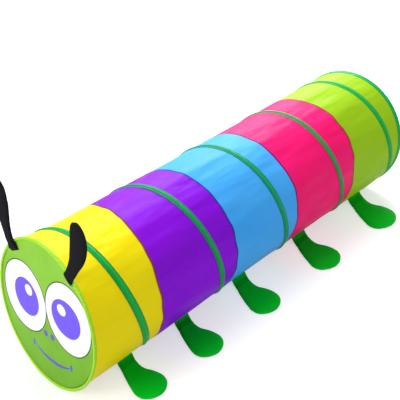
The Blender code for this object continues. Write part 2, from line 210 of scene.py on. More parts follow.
# A seam's rows: how far from the seam, and how deep below the cloth. The first two are its turned-in edge.
SEAM_ROWS = (
    (0.00015, 0.0085), (0.00010, 0.0040), (0.00020, 0.0016),
    (0.0007, 0.0007), (0.0020, 0.0002), (0.0042, 0.0),
)
# Where the feet are sewn on, which holds the cloth: places along the tube on each side (1 is the right one),
# their angle from the crown, half of a seam's length, and how far round it the cloth is held
FOOT_SEAMS = {
    1: (-0.62900, -0.33547, -0.00073, 0.38799, 0.79533),
    -1: (-0.55394, -0.33547, -0.00073, 0.38799, 0.79533),
}
FOOT_SEAM_ANGLE = math.radians(157.5)
FOOT_SEAM_HALF = 0.043
FOOT_SEAM_REACH = 0.014
CLOTH_COLOURS = {
    "yellow": ((0.96, 0.82, 0.003, 1), (0.92, 0.68, 0.001, 1)),
    "purple": ((0.28, 0.005, 0.8, 1), (0.16, 0.002, 0.54, 1)),
    "blue": ((0.075, 0.44, 0.97, 1), (0.022, 0.34, 0.94, 1)),
    "pink": ((0.97, 0.01, 0.19, 1), (0.9, 0.003, 0.095, 1)),
    "lime": ((0.335, 0.61, 0.01, 1), (0.24, 0.4, 0.004, 1)),
}
THREAD = 0.0007
# The painted shade in a seam's groove: half its width, and its soft edge
SEAM_SHADE_BAND = (0.0028, 0.002)
# The stitches beside a seam: how far off, half their width, their pitch and share
SEAM_STITCHES = (0.0052, 0.0004, 0.0042, 0.68)
STITCH_EDGE = 0.0003


def unit(value):
    """A value kept between 0 and 1."""
    return np.clip(value, 0, 1)


def eased(share):
    """A share between 0 and 1, with a gentle start and end."""
    return share * share * (3 - 2 * share)


def tube_points(theta, along, height, lift=FLOOR_CLEAR):
    """Places at angles from the crown (positive to +X), along the tube, and at heights over its cloth."""
    share = unit((HEAD_AT + SECTION_LENGTHS["yellow"] - along) / SECTION_LENGTHS["yellow"])
    cloth_radius = TUBE_RADIUS + HEAD_FLARE * share**2
    turn = HEAD_TURN * share
    side = (cloth_radius + height) * np.sin(theta)
    up = (cloth_radius + REST_RISE) * FLAT_SHARE + (cloth_radius + height) * np.cos(theta)
    return np.stack([side * np.cos(turn), along - side * np.sin(turn), np.maximum(up, lift)], axis=-1)


def coil_along(turns):
    """How far along the tube the coil is, after so many turns from its first crown."""
    climb = turns * (COIL_PITCH - COIL_TIGHTENING * turns)
    return HEAD_AT + COIL_START + climb - COIL_LEAN * np.sin(2 * np.pi * turns + COIL_LEAN_ANGLE)


def bay_between_turns(theta, along):
    """The free cloth between two turns of the casing: its start and end, and how far the coil has wound."""
    turns = theta / (2 * np.pi)
    lines = np.stack([coil_along(turns + turn) for turn in range(-2, 8)])
    below = np.sum(lines <= along, axis=0) - 1
    low = np.take_along_axis(lines, below[None], axis=0)[0]
    high = np.take_along_axis(lines, below[None] + 1, axis=0)[0]
    start = np.maximum(low + CASING_WIDTH / 2, HEAD_AT + BINDING_HEMS["head"])
    end = np.minimum(high - CASING_WIDTH / 2, TAIL_AT - BINDING_HEMS["tail"])
    return start, end, theta + 2 * np.pi * below


def free_of_feet(theta, along):
    """1 where the cloth hangs free, falling to 0 where a foot is sewn on."""
    free = 1 + 0 * along
    for side, necks in FOOT_SEAMS.items():
        off_seam = theta - side * FOOT_SEAM_ANGLE
        near_seam = np.exp(-((off_seam * TUBE_RADIUS / FOOT_SEAM_REACH) ** 2))
        for neck in necks:
            beyond = unit((np.abs(along - neck) - FOOT_SEAM_HALF) / FOOT_SEAM_REACH)
            free = np.minimum(free, 1 - near_seam * (1 - eased(beyond)))
    return free


def cloth_height(theta, along):
    """How far the cloth stands from the round tube: its sag, its folds, and the puckers at the casing."""
    start, end, wound = bay_between_turns(theta, along)
    bay = np.maximum(end - start, 1e-4)
    share = unit((along - start) / bay)
    slack = np.minimum(bay / SLACK_BAY, 1) ** 1.5
    crown = np.cos(theta)
    sag = -CROWN_SAG * np.sin(np.pi * share) * (0.42 + 0.58 * crown) * slack
    loose = 0.55 + 0.75 * (1 - crown) / 2 + 0.3 * np.sin(theta) ** 2
    folds = 0
    for depth, waves, shift, slant, (bend, bend_waves, bend_shift) in FOLD_WAVES:
        bent = bend * np.sin(bend_waves * wound + bend_shift)
        folds = folds + depth * np.sin(waves * wound + shift + slant * share + bent)
    folds = FOLD_DEPTH * folds * loose * slack * np.sin(np.pi * share) ** 0.75
    from_edge = np.minimum(along - start, end - along)
    uneven = 1.9 * np.sin(5.3 * wound) + 1.1 * np.sin(11.9 * wound)
    ripple = np.sin(2 * np.pi * TUBE_RADIUS * wound / PUCKER_LENGTH + uneven)
    fading = np.exp(-from_edge / PUCKER_REACH) * (1 - np.exp(-from_edge / PUCKER_EDGE))
    held = np.where(from_edge > 0, fading, 0)
    puckers = PUCKER_DEPTH * ripple * held * (0.6 + 0.4 * np.sin(3.7 * wound))
    return (sag + folds + puckers) * free_of_feet(theta, along)


def seam_waver(theta, number):
    """How far a seam strays along the tube as it goes round, apart from the first one's lean."""
    reach, times, furthest = SEAM_STRAYS[number]
    ripple = np.sin(9 * theta + 1.3 * number) + 0.6 * np.sin(17 * theta + 2.9 * number)
    return reach * np.cos(times * (theta - furthest)) + SEAM_WAVER * ripple


def seam_lean(theta):
    """How far the first seam leans toward the tail."""
    across, up = TUBE_RADIUS * np.sin(theta), TUBE_RADIUS * np.cos(theta)
    return LEAN_MIDDLE - math.tan(LEAN_TURN) * across - math.tan(LEAN_TILT) * up


def mesh_piece(name, points, faces, places, material):
    """A smooth piece, with a texture place in metres for each corner of its faces."""
    mesh = bpy.data.meshes.new(name)
    mesh.from_pydata(points, [], faces)
    layer = mesh.uv_layers.new(name="metres")
    layer.data.foreach_set("uv", places.astype(np.float32).ravel())
    mesh.shade_smooth()
    mesh.materials.append(material)
    return added(name, mesh)


def arc_along(points):
    """How far along a line of points each of them is."""
    return np.concatenate([[0], np.cumsum(np.linalg.norm(np.diff(points, axis=0), axis=1))])


def grid_piece(name, points, across_m, along_m, material, round_grid=False):
    """A sheet through rows of points, with its real sizes as its texture places."""
    rows, columns = points.shape[:2]
    steps = columns if round_grid else columns - 1
    row, step = np.meshgrid(np.arange(rows - 1), np.arange(steps), indexing="ij")
    after = (step + 1) % columns
    corners = [(row, step), (row, after), (row + 1, after), (row + 1, step)]
    faces = np.stack([down * columns + right for down, right in corners], axis=-1).reshape(-1, 4)
    flat = np.stack([across_m, along_m], axis=-1)
    corners = [(row, step), (row, step + 1), (row + 1, step + 1), (row + 1, step)]
    places = np.stack([flat[down, right] for down, right in corners], axis=-2)
    return mesh_piece(name, points.reshape(-1, 3), faces, places, material)


def thicken(piece, thickness, side):
    """Gives a sheet its thickness, outwards (side 1), inwards (-1) or both ways (0)."""
    solidify = piece.modifiers.new("thickness", "SOLIDIFY")
    solidify.thickness = thickness
    solidify.offset = side
    settle(piece)


def settle(piece):
    """Makes what a piece's modifiers do part of its mesh."""
    graph = bpy.context.evaluated_depsgraph_get()
    shaped = bpy.data.meshes.new_from_object(piece.evaluated_get(graph))
    piece.modifiers.clear()
    piece.data = shaped


def new_finish(name, roughness, **sockets):
    """A material, its tree, its shader, and the places in metres that its texture follows."""
    material = bpy.data.materials.new(name)
    material.use_nodes = True
    tree = material.node_tree
    shader = tree.nodes["Principled BSDF"]
    shader.inputs["Roughness"].default_value = roughness
    for key, value in sockets.items():
        shader.inputs[key.replace("_", " ")].default_value = value
    metres = add_node(tree, "UVMap", {}, uv_map="metres")
    return material, tree, shader, metres.outputs[0]


def ridges(tree, metres, pitch, direction="X", **uneven):
    """Ridges over the cloth, so far apart."""
    inputs = {"Vector": metres, "Scale": math.pi / (20 * pitch), **uneven}
    return add_node(tree, "TexWave", inputs, bands_direction=direction).outputs[1]


def weave(tree, metres, thread):
    """A plain weave of threads that are so wide: two sets of ridges, one across the other."""
    return product(tree, ridges(tree, metres, thread), ridges(tree, metres, thread, "Y"))


def stretched_noise(tree, metres, across, along, detail, offset=0):
    """Soft noise with its own scale across and along the cloth."""
    placed = add_node(tree, "Mapping", {
        "Vector": metres, "Location": (offset, offset, 0), "Scale": (across, along, 1),
    })
    noise = add_node(tree, "TexNoise", {"Vector": placed.outputs[0], "Scale": 1.0, "Detail": detail})
    return noise.outputs[0]


def dress(shader, colour, layers):
    """Gives a shader its colour, and raises its surface by layers of (height socket, depth in metres)."""
    tree = shader.id_data
    tree.links.new(colour, shader.inputs["Base Color"])
    normal = None
    for height, depth in layers:
        inputs = {"Height": height, "Distance": depth, "Strength": 1.0}
        if normal:
            inputs["Normal"] = normal
        normal = add_node(tree, "Bump", inputs).outputs[0]
    tree.links.new(normal, shader.inputs["Normal"])


def ramp(tree, value, none_at, all_at, top=1.0):
    """0 where a value is at none_at, rising to top where it is at all_at."""
    return add_node(tree, "MapRange", {
        "Value": value, "From Min": none_at, "From Max": all_at, "To Min": 0.0, "To Max": top,
    }).outputs[0]


def band_mask(tree, value, centre, half, soft):
    """1 where a value lies within half of a centre, fading to 0 over a soft edge."""
    away = maths(tree, "ABSOLUTE", maths(tree, "SUBTRACT", value, centre))
    return ramp(tree, away, half + soft, half)


def dashes(tree, value, pitch, share):
    """1 on the stitches of a row of sewing, and 0 between them."""
    place = maths(tree, "FRACT", product(tree, value, 1 / pitch))
    return maths(tree, "LESS_THAN", place, share)


def product(tree, first, second):
    """Two masks multiplied."""
    return maths(tree, "MULTIPLY", first, second)


def stitches(tree, parts, sewing, place, half, pitch, share):
    """A row of stitches along a line of the cloth, added to the sewing that is there."""
    line = band_mask(tree, parts[1], place, half, STITCH_EDGE)
    row = product(tree, line, dashes(tree, parts[0], pitch, share))
    return maths(tree, "ADD", sewing, row, use_clamp=True)


def tinted(tree, share, first, second):
    """A colour that goes from the first to the second as a mask goes from 0 to 1."""
    mixed = add_node(tree, "Mix", {"Factor": share, 6: first, 7: second}, data_type="RGBA")
    return mixed.outputs[2]


def section_cloth(name, number, colour, deep, start, end):
    """The woven cloth of one section, with painted shade in the groove of each seam, and a row of stitches
    beside each.
    """
    material, tree, shader, metres = new_finish(f"{name}_cloth", 0.5, Specular_IOR_Level=0.05)
    parts = add_node(tree, "SeparateXYZ", {"Vector": metres}).outputs
    patches = ramp(tree, stretched_noise(tree, metres, 5, 1.6, 2), 0.35, 0.75, 0.45)
    base = tinted(tree, patches, colour, deep)
    threads = weave(tree, metres, THREAD)
    base = tinted(tree, product(tree, threads, 0.12), base, deep)
    sewing = 0.0
    away, *stitch = SEAM_STITCHES
    for seam, side, ink_and_shade in ((start, 1, SEAM_SHADES[number]), (end, -1, SEAM_SHADES[number + 1])):
        # Painted shade in the groove that the turned-in seam makes
        near = band_mask(tree, parts[1], seam, *SEAM_SHADE_BAND)
        base = tinted(tree, product(tree, near, 0.85), base, ink_and_shade)
        sewing = stitches(tree, parts, sewing, seam + side * away, *stitch)
    base = tinted(tree, product(tree, sewing, 0.5), base, deep)
    rough = stretched_noise(tree, metres, 30, 9, 3, 4)
    shine = add_node(tree, "MapRange", {"Value": rough, "To Min": 0.42, "To Max": 0.6}).outputs[0]
    tree.links.new(shine, shader.inputs["Roughness"])
    creases = stretched_noise(tree, metres, 11, 2.6, 2.2, 2)
    crinkle = stretched_noise(tree, metres, 110, 60, 3, 9)
    dress(shader, base, [(creases, 0.016), (crinkle, 0.0003), (threads, 0.00006), (sewing, 0.0003)])
    return material


def round_angles(steps):
    """Angles all the way round the tube, from under it to the crown and on."""
    return (np.arange(steps + 1) / steps - 0.5) * 2 * np.pi


def edge_rows(end_at, inward, at_hoop):
    """The rows of a section next to one of its ends: where they lie, and how deep below the cloth."""
    rows = [(HOOP_ROW, 0.0)] if at_hoop else SEAM_ROWS
    return [(end_at + inward * away, deep) for away, deep in rows]


# The painted shade in the groove of each seam, from the head's hem to the tail's
SEAM_SHADES = (
    (0.5, 0.33, 0.002, 1), (0.26, 0.045, 0.02, 1), (0.02, 0.002, 0.3, 1), (0.12, 0.002, 0.22, 1),
    (0.3, 0.01, 0.02, 1), (0.12, 0.25, 0.004, 1),
)
# The two sections at the leaning seam: their other end's share, and what the lean adds to their mean length
LEANING = {"yellow": (0, LEAN_MIDDLE), "purple": (1, -LEAN_MIDDLE)}
seam_places = HEAD_AT + np.cumsum([0, *SECTION_LENGTHS.values()])
section_middles = []
for number, (name, length) in enumerate(SECTION_LENGTHS.items()):
    start = float(seam_places[number])
    end = start + length
    section_middles.append((start + end) / 2)
    first, last = name == "yellow", name == "lime"
    inner_rows = np.linspace(start + CLOTH_ROW, end - CLOTH_ROW, int(round(length / CLOTH_ROW)))
    low_rows, high_rows = edge_rows(start, 1, first), edge_rows(end, -1, last)
    all_rows = np.array(low_rows + [(place, 0.0) for place in inner_rows] + high_rows[::-1])
    angles, places = np.meshgrid(round_angles(CLOTH_STEPS), all_rows[:, 0])
    nearer_end = unit((places - start) / length)
    waver = 0 * places
    if not first:
        waver += (1 - nearer_end) ** 4 * seam_waver(angles, number)
    if not last:
        waver += nearer_end**4 * seam_waver(angles, number + 1)
    square_end, longer = LEANING.get(name, (None, 0))
    if longer:
        waver += np.abs(nearer_end - square_end) * seam_lean(angles)
    heights = cloth_height(angles, places + waver) - all_rows[:, 1:]
    cloth_points = tube_points(angles, places + waver, heights, FLOOR_CLEAR + CLOTH_THICKNESS)
    woven = section_cloth(name, number, *CLOTH_COLOURS[name], start, end)
    cloth = grid_piece(
        f"cloth_{name}", cloth_points[:, :-1], angles * TUBE_RADIUS, places, woven, round_grid=True
    )
    thicken(cloth, CLOTH_THICKNESS, -1)
    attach(cloth, f"section_{name}")
    middle = (0, section_middles[number], 0)
    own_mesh(cloth)
    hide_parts(f"panel_{name}")

# The coil is one length of drawn spring wire. It runs in a casing, a green tape that is sewn to the cloth
# along both of its edges, so the tape stands up in a round ridge over the wire between two flat hems.
WIRE_RADIUS = 0.0015
WIRE_HEIGHT = 0.0018
WIRE_LIFT = 0.0007
COIL_STEPS = 144
WIRE_SIDES = 10
CASING_TAPE = 0.0005
CASING_END_TAPER = 0.03
CASING_RIDGE_FROM = 0.001
# The waver of the casing's edges and the ripple of its hems: reach, then length, swing, drift, how far from
# the wire they start, and the width over which they grow
WAVER_REACH, RIPPLE_REACH = 0.0004, 0.00022
HEM_WAVER = (0.021, 2, 3.3, 0.008, 0.006)
HEM_RIPPLE = (0.0105, 3, 2.7, 0.0036, 0.004)
# Where the casing ends at the hems of the bound edges, and how far short of that its coil stops
HEM_GAP = 0.0003
HEM_LOW = HEAD_AT + BINDING_HEMS["head"] + HEM_GAP
HEM_HIGH = TAIL_AT - BINDING_HEMS["tail"] - HEM_GAP
COIL_STOP = 0.0035
# The casing's profile: how far from the wire, and how high over the cloth
CASING_PROFILE = (
    (-0.0140, 0.0005), (-0.0134, 0.0010), (-0.0122, 0.0009), (-0.0115, 0.0007), (-0.0108, 0.0009),
    (-0.0085, 0.0011), (-0.0064, 0.0009), (-0.0048, 0.0010), (-0.0037, 0.0016), (-0.0029, 0.0025),
    (-0.0021, 0.0034), (-0.0011, 0.0040), (0.0, 0.0042),
)

coil_turns = np.arange(-COIL_STEPS, 6 * COIL_STEPS) / COIL_STEPS
coil_places = coil_along(coil_turns)
on_tube = (coil_places > HEM_LOW + COIL_STOP) & (coil_places < HEM_HIGH - COIL_STOP)
coil_turns, coil_places = coil_turns[on_tube], coil_places[on_tube]
coil_angles = 2 * np.pi * coil_turns
coil_arc = arc_along(tube_points(coil_angles, coil_places, 0))

TAPE_GREEN = (0.0, 0.54, 0.11, 1)
# The tape's deeper tone, used for its mottle and for its painted shade in grooves and puckers
TAPE_DEEP_AND_SHADE = (0.0, 0.14, 0.026, 1)
# The colour of the painted shade at the casing's edges
TAPE_EDGE_SHADE = (0.0, 0.045, 0.012, 1)
# The tape is thin, so a little of the cloth under it shows through: its colour over each section
TAPE_OVER = (
    (0.0, 0.57, 0.07, 1), (0.004, 0.4, 0.12, 1), (0.0, 0.42, 0.19, 1),
    (0.075, 0.33, 0.115, 1), (0.0, 0.55, 0.08, 1),
)
TAPE_CHANGE = 0.01
TAPE_RIB = 0.0006
TAPE_PUCKERS = {"Distortion": 3.0, "Detail Scale": 60.0}
# A tape's stitches: half their width, their pitch and share
TAPE_STITCHES = (0.0004, 0.0036, 0.66)
# The painted marks along a tape, painted shade in its stitch grooves, a painted highlight on its ridge and
# painted shade at its edges: half their width, and their soft edge
STITCH_GROOVE_SHADE = (0.0007, 0.0008)
RIDGE_HIGHLIGHT = (0.0012, 0.0026)
EDGE_SHADE = (0.0007, 0.001)
# The casing's rows of stitches, how far apart they pucker it, and the painted shade at its edges with their
# shares
CASING_SEWN = (-0.0112, 0.0112)
CASING_TICKS = 0.0045
CASING_EDGE_SHADES = ((-0.0138, 0.85), (0.0138, 0.4))


def tape_finish(name, colour, deep, stitch_rows, ticks, edges=(), over=None):
    """A woven tape with ribs across it, sewn along its stitch rows, with painted shade in its stitch
    grooves, puckers and edges, and a painted highlight on its ridge.
    """
    material, tree, shader, metres = new_finish(name, 0.42, Specular_IOR_Level=0.12)
    parts = add_node(tree, "SeparateXYZ", {"Vector": metres}).outputs
    mottle = stretched_noise(tree, metres, 25, 25, 2)
    shown = over(tree, parts[0]) if over else colour
    base = tinted(tree, product(tree, mottle, 0.45), shown, deep)
    ribs = ridges(tree, metres, TAPE_RIB)
    sewing = 0.0
    for place in stitch_rows:
        # Painted shade in the groove of each stitch row
        line = band_mask(tree, parts[1], place, *STITCH_GROOVE_SHADE)
        base = tinted(tree, product(tree, line, 0.55), base, deep)
        sewing = stitches(tree, parts, sewing, place, *TAPE_STITCHES)
    thread_colour = tuple(min(1, 1.25 * part) for part in colour[:3]) + (1,)
    base = tinted(tree, product(tree, sewing, 0.8), base, thread_colour)
    pulled = ridges(tree, metres, ticks, **TAPE_PUCKERS)
    # Painted shade in the puckers between the stitches
    base = tinted(tree, product(tree, pulled, 0.16), base, deep)
    # Painted highlight along the ridge over the wire
    ridge = band_mask(tree, parts[1], 0.0, *RIDGE_HIGHLIGHT)
    ridge_highlight = tuple(0.9 * part + 0.02 for part in colour[:3]) + (1,)
    base = tinted(tree, product(tree, ridge, 0.3), base, ridge_highlight)
    # Painted shade along the tape's edges, under its hems
    for edge_at, strength in edges:
        edge = band_mask(tree, parts[1], edge_at, *EDGE_SHADE)
        base = tinted(tree, product(tree, edge, strength), base, TAPE_EDGE_SHADE)
    dress(shader, base, [(pulled, 0.0005), (ribs, 0.00008), (sewing, 0.0003)])
    return material


def tape_over_cloth(tree, arc):
    """The casing's colour along the coil, which changes where the coil crosses a seam of the cloth."""
    shown = TAPE_OVER[0]
    for number, tape_colour in enumerate(TAPE_OVER[1:], 1):
        seam = seam_places[number] + (seam_lean(coil_angles) if number == 1 else 0)
        crossing = float(coil_arc[np.argmax(coil_places > seam)])
        change = ramp(tree, arc, crossing - TAPE_CHANGE, crossing + TAPE_CHANGE)
        shown = tinted(tree, change, shown, tape_colour)
    return shown


green_tape = tape_finish(
    "green_tape", TAPE_GREEN, TAPE_DEEP_AND_SHADE, CASING_SEWN, CASING_TICKS, CASING_EDGE_SHADES, tape_over_cloth
)

half_profile = np.array(CASING_PROFILE)
profile_away, profile_height = np.vstack([half_profile, half_profile[-2::-1] * (-1, 1)]).T
arc_rows, angle_rows = coil_arc[:, None], coil_angles[:, None]
taper = eased(unit(np.minimum(arc_rows, coil_arc[-1] - arc_rows) / CASING_END_TAPER))


def hem_wave(length, swing, drift, start, growth):
    """A wave along the casing, and its share, which grows from the wire out to the edges."""
    wave = np.sin(arc_rows * 2 * np.pi / length + swing * np.sin(angle_rows * drift))
    return wave, unit((np.abs(profile_away) - start) / growth)


waver, waver_share = hem_wave(*HEM_WAVER)
waver = WAVER_REACH * waver * (waver_share * np.sign(profile_away))
casing_along = np.clip(coil_places[:, None] + profile_away + waver, HEM_LOW, HEM_HIGH)
ripple, ripple_share = hem_wave(*HEM_RIPPLE)
ripple = RIPPLE_REACH * (1 + ripple) * ripple_share
ridge = np.maximum(profile_height - CASING_RIDGE_FROM, 0) * taper
casing_height = np.minimum(profile_height, CASING_RIDGE_FROM) + ridge + ripple
casing = grid_piece(
    "casing_tape", tube_points(angle_rows, casing_along, casing_height),
    arc_rows + 0 * casing_along, profile_away + 0 * casing_along, green_tape,
)
thicken(casing, CASING_TAPE, 1)
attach(casing, "tail_and_coil")
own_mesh(casing)
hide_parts("wire_casing")


def grained(name, roughness, fineness, depth, dark, light, **sockets):
    """A plain hard material with a fine grain, so many grains to a metre."""
    material, tree, shader, metres = new_finish(name, roughness, **sockets)
    grain = stretched_noise(tree, add_node(tree, "TexCoord", {}).outputs["Object"], fineness, fineness, 2)
    dress(shader, tinted(tree, grain, dark, light), [(grain, depth)])
    return material


spring_steel = grained(
    "spring_steel", 0.3, 900, 0.00005, (0.42, 0.43, 0.45, 1), (0.58, 0.59, 0.61, 1), Metallic=1.0
)
inside_casing = (coil_arc > CASING_END_TAPER) & (coil_arc < coil_arc[-1] - CASING_END_TAPER)
wire_sides = np.arange(WIRE_SIDES) / WIRE_SIDES * 2 * np.pi
wire_along = coil_places[inside_casing][:, None] + WIRE_RADIUS * np.sin(wire_sides)
wire_height = WIRE_HEIGHT + WIRE_RADIUS * np.cos(wire_sides) + 0 * wire_along
wire_girth = np.arange(WIRE_SIDES + 1) * 2 * np.pi * WIRE_RADIUS / WIRE_SIDES
wire_arc = coil_arc[inside_casing][:, None] + 0 * wire_girth
wire = grid_piece(
    "coil_wire",
    tube_points(coil_angles[inside_casing][:, None], wire_along, wire_height, FLOOR_CLEAR + WIRE_LIFT),
    wire_arc, wire_girth + 0 * wire_arc, spring_steel, round_grid=True,
)
wire_ends = bmesh.new()
wire_ends.from_mesh(wire.data)
bmesh.ops.holes_fill(wire_ends, edges=[edge for edge in wire_ends.edges if edge.is_boundary], sides=0)
bmesh.ops.recalc_face_normals(wire_ends, faces=wire_ends.faces)
wire_ends.to_mesh(wire.data)
wire_ends.free()
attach(wire, "tail_and_coil")
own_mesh(wire)
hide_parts("spring_wire")

# The end hoops are bent from the same wire. Their two ends are pushed into a moulded sleeve at the floor.
# Both are hidden inside the bound edges.
sleeve_plastic = grained("sleeve_plastic", 0.5, 1500, 0.00004, (0.03, 0.03, 0.03, 1), (0.05, 0.05, 0.05, 1))
for end_name in ("head", "tail"):
    for ending, material in (("hoop", spring_steel), ("hoop_sleeve", sleeve_plastic)):
        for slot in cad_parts[f"{end_name}_{ending}"].material_slots:
            slot.material = material

# The bound edges: a folded tape closes round each hoop and grips the cloth between its two hems, with a row
# of stitches through all of them. The head's is bright lime satin, and the tail's is green like the casing.
BULB_RADIUS = 0.0052
BULB_STEPS = 17
BULB_DROP = 0.0005
RING_STEPS = 360
BINDING_TAPE = 0.0007
BINDING_SEWN = (-0.0205, 0.0205)
BINDING_TICKS = 0.0062
# The gathers of a bound edge: length, swell of the bulb, wave of the hem's edge, ruffle of the hem
GATHER_LENGTH, GATHER_SWELL, GATHER_WAVE, GATHER_RUFFLE = 0.0125, 0.035, 0.0006, 0.00018
# The hem's rows: how far along it from the hoop to its edge, and the heights of the inner and outer tape
HEM_ROWS = (
    (1.0, -0.0016, 0.0010), (0.86, -0.0019, 0.0014), (0.77, -0.0016, 0.0011), (0.68, -0.0019, 0.0014),
    (0.40, -0.0020, 0.0015), (0.12, -0.0022, 0.0016),
)


def bound_edge(name, at, inward, material, body):
    """Folds a tape round a hoop: the inner hem, the round over the hoop, and the outer hem."""
    end_name = name.split("_")[0]
    hem = BINDING_HEMS[end_name] - BULB_RADIUS
    sides = np.linspace(-0.42 * np.pi, -1.58 * np.pi, BULB_STEPS)
    profile = [(BULB_RADIUS + share * hem, inner) for share, inner, outer in HEM_ROWS]
    profile += [(BULB_RADIUS * math.cos(side), BULB_RADIUS * math.sin(side) - BULB_DROP) for side in sides]
    profile += [(BULB_RADIUS + share * hem, outer) for share, inner, outer in HEM_ROWS[::-1]]
    across = arc_along(profile)
    angles, widths = np.meshgrid(round_angles(RING_STEPS), across)
    reach, height = np.array(profile).T[..., None]
    is_hem = unit((reach - BULB_RADIUS) / (0.6 * hem))
    is_edge = unit((reach - BULB_RADIUS) / (0.25 * hem) - 3)
    arc = angles * TUBE_RADIUS
    gathered = np.sin(arc * 2 * np.pi / GATHER_LENGTH + 2.2 * np.sin(7 * angles))
    gathered = gathered * (0.7 + 0.3 * np.sin(13 * angles))
    swell = GATHER_SWELL * gathered * (1 - is_hem)
    ruffle = GATHER_RUFFLE * gathered * is_hem * np.sign(height)
    place = at + inward * (reach + GATHER_WAVE * is_edge * gathered)
    points = tube_points(angles, place, height * (1 + swell) + ruffle)
    edge = grid_piece(name, points[:, :-1], arc, widths - across[-1] / 2, material, round_grid=True)
    if inward < 0:
        edge.data.flip_normals()
    thicken(edge, BINDING_TAPE, -1)
    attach(edge, body)
    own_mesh(edge)
    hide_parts(f"{end_name}_binding")


tail_tape = tape_finish("tail_tape", TAPE_GREEN, TAPE_DEEP_AND_SHADE, BINDING_SEWN, BINDING_TICKS)
bound_edge("tail_bound_edge", TAIL_AT, -1, tail_tape, "tail_and_coil")
# The lime satin's deeper tone is also its painted shade in grooves and puckers
BINDING_LIME, BINDING_DEEP_AND_SHADE = (0.46, 0.88, 0.035, 1), (0.26, 0.6, 0.012, 1)
lime_satin = tape_finish("lime_satin", BINDING_LIME, BINDING_DEEP_AND_SHADE, BINDING_SEWN, BINDING_TICKS)
bound_edge("head_bound_edge", HEAD_AT, 1, lime_satin, "head")

# The face is one round of printed cloth. Its top, the header, is sewn into the bound edge. Below that it
# hangs free as a door flap, and the cloth dips a little along the hinge line. Eyes, nose and a plain smile
# are printed on.
FACE_RADIUS = 0.2426
HEADER_TUCK = 0.0012
HEADER_SEWN = 0.006
FLAP_CLEARANCE = 0.0014
FACE_ROLL = math.radians(3.5)
HINGE_HEIGHT = 0.156
FACE_RINGS = 44
FACE_STEPS = 240
FACE_CLOTH = 0.001
FACE_BULGE = 0.0035
# The face's swags round its edge: depth, how many, start, and how they fade toward the middle
FACE_SWAGS = ((0.0011, 3, 0.8, 2), (0.0008, 7, 2.2, 3))
# The header's crease: depth, middle, slant, half width and half length
HEADER_CREASE = (0.0016, (-0.028, 0.195), 0.4, 0.006, 0.02)
# The dip along the hinge: depth and half width
HINGE_DIP = (0.0006, 0.004)
HEAD_CENTRE = Vector((0, HEAD_AT, (TUBE_RADIUS + HEAD_FLARE + REST_RISE) * FLAT_SHARE))
LEVEL_ACROSS = Vector((math.cos(HEAD_TURN), -math.sin(HEAD_TURN), 0))
FACE_OUT = LEVEL_ACROSS.cross(Vector((0, 0, 1)))
FACE_ACROSS = Matrix.Rotation(FACE_ROLL, 3, FACE_OUT) @ LEVEL_ACROSS
FACE_UP = FACE_OUT.cross(FACE_ACROSS)
face_frame, head_centre = np.array([FACE_ACROSS, FACE_UP, FACE_OUT]), np.array(HEAD_CENTRE)
FACE_LIME = (0.262, 0.585, 0.038, 1)
# The face's deeper tone, used for its mottle, its threads and its painted shade low down
FACE_DEEP_AND_SHADE = (0.15, 0.4, 0.012, 1)
FACE_THREAD = 0.0008
PRINT_SOFT = 0.0005
PRINT_WHITE = (0.93, 0.93, 0.92, 1)
PRINT_LINE = (0.022, 0.045, 0.012, 1)
PUPIL_VIOLET = (0.17, 0.085, 0.95, 1)
PUPIL_LINE = (0.13, 0.1, 0.62, 1)
PRINT_BLUE = (0.115, 0.105, 0.52, 1)
# The print's pairs of ovals, from the bottom up: their line, its colour, theirs, and each one's middle and
# halves
PRINT_PAIRS = (
    (0.004, PRINT_LINE, PRINT_WHITE, ((-0.108, 0.02), (0.114, 0.119)), ((0.121, 0.04), (0.113, 0.12))),
    (0.0025, PUPIL_LINE, PUPIL_VIOLET, ((-0.098, 0.021), (0.064, 0.062)), ((0.111, 0.038), (0.07, 0.061))),
    (0.0025, PUPIL_LINE, PRINT_WHITE, ((-0.084, 0.051), (0.02, 0.019)), ((0.091, 0.061), (0.0215, 0.019))),
    (0, None, PRINT_BLUE, ((-0.004, -0.068), (0.0105, 0.0118)), ((0.031, -0.067), (0.0105, 0.0118))),
    (0, None, PRINT_BLUE, ((-0.077, -0.137), (0.0055, 0.014)), ((0.123, -0.134), (0.0055, 0.014))),
)
# The smile is the sliver between two rounds, below a level: their middles, their radii, and the level
SMILE_MIDDLES = ((0.023, 0.0024), (0.023, 0.0871))
SMILE_RADII = (0.1704, 0.2421)
SMILE_TOP = -0.1365

face_print, face_tree, face_shader, face_metres = new_finish(
    "face_print", 0.55, Sheen_Weight=0.02, Sheen_Roughness=0.4, Specular_IOR_Level=0.2,
)
face_parts = add_node(face_tree, "SeparateXYZ", {"Vector": face_metres}).outputs


def oval_mask(middle, halves):
    """1 inside an oval of the print, with a soft edge."""
    offset = add_node(face_tree, "VectorMath", {0: face_metres, 1: (*middle, 0)}, operation="SUBTRACT")
    scaled = add_node(face_tree, "VectorMath", {0: offset.outputs[0], 1: (*halves, 1)}, operation="DIVIDE")
    reach = add_node(face_tree, "VectorMath", {0: scaled.outputs[0]}, operation="LENGTH").outputs["Value"]
    soft = PRINT_SOFT / min(halves)
    return ramp(face_tree, reach, 1 + soft, 1 - soft)


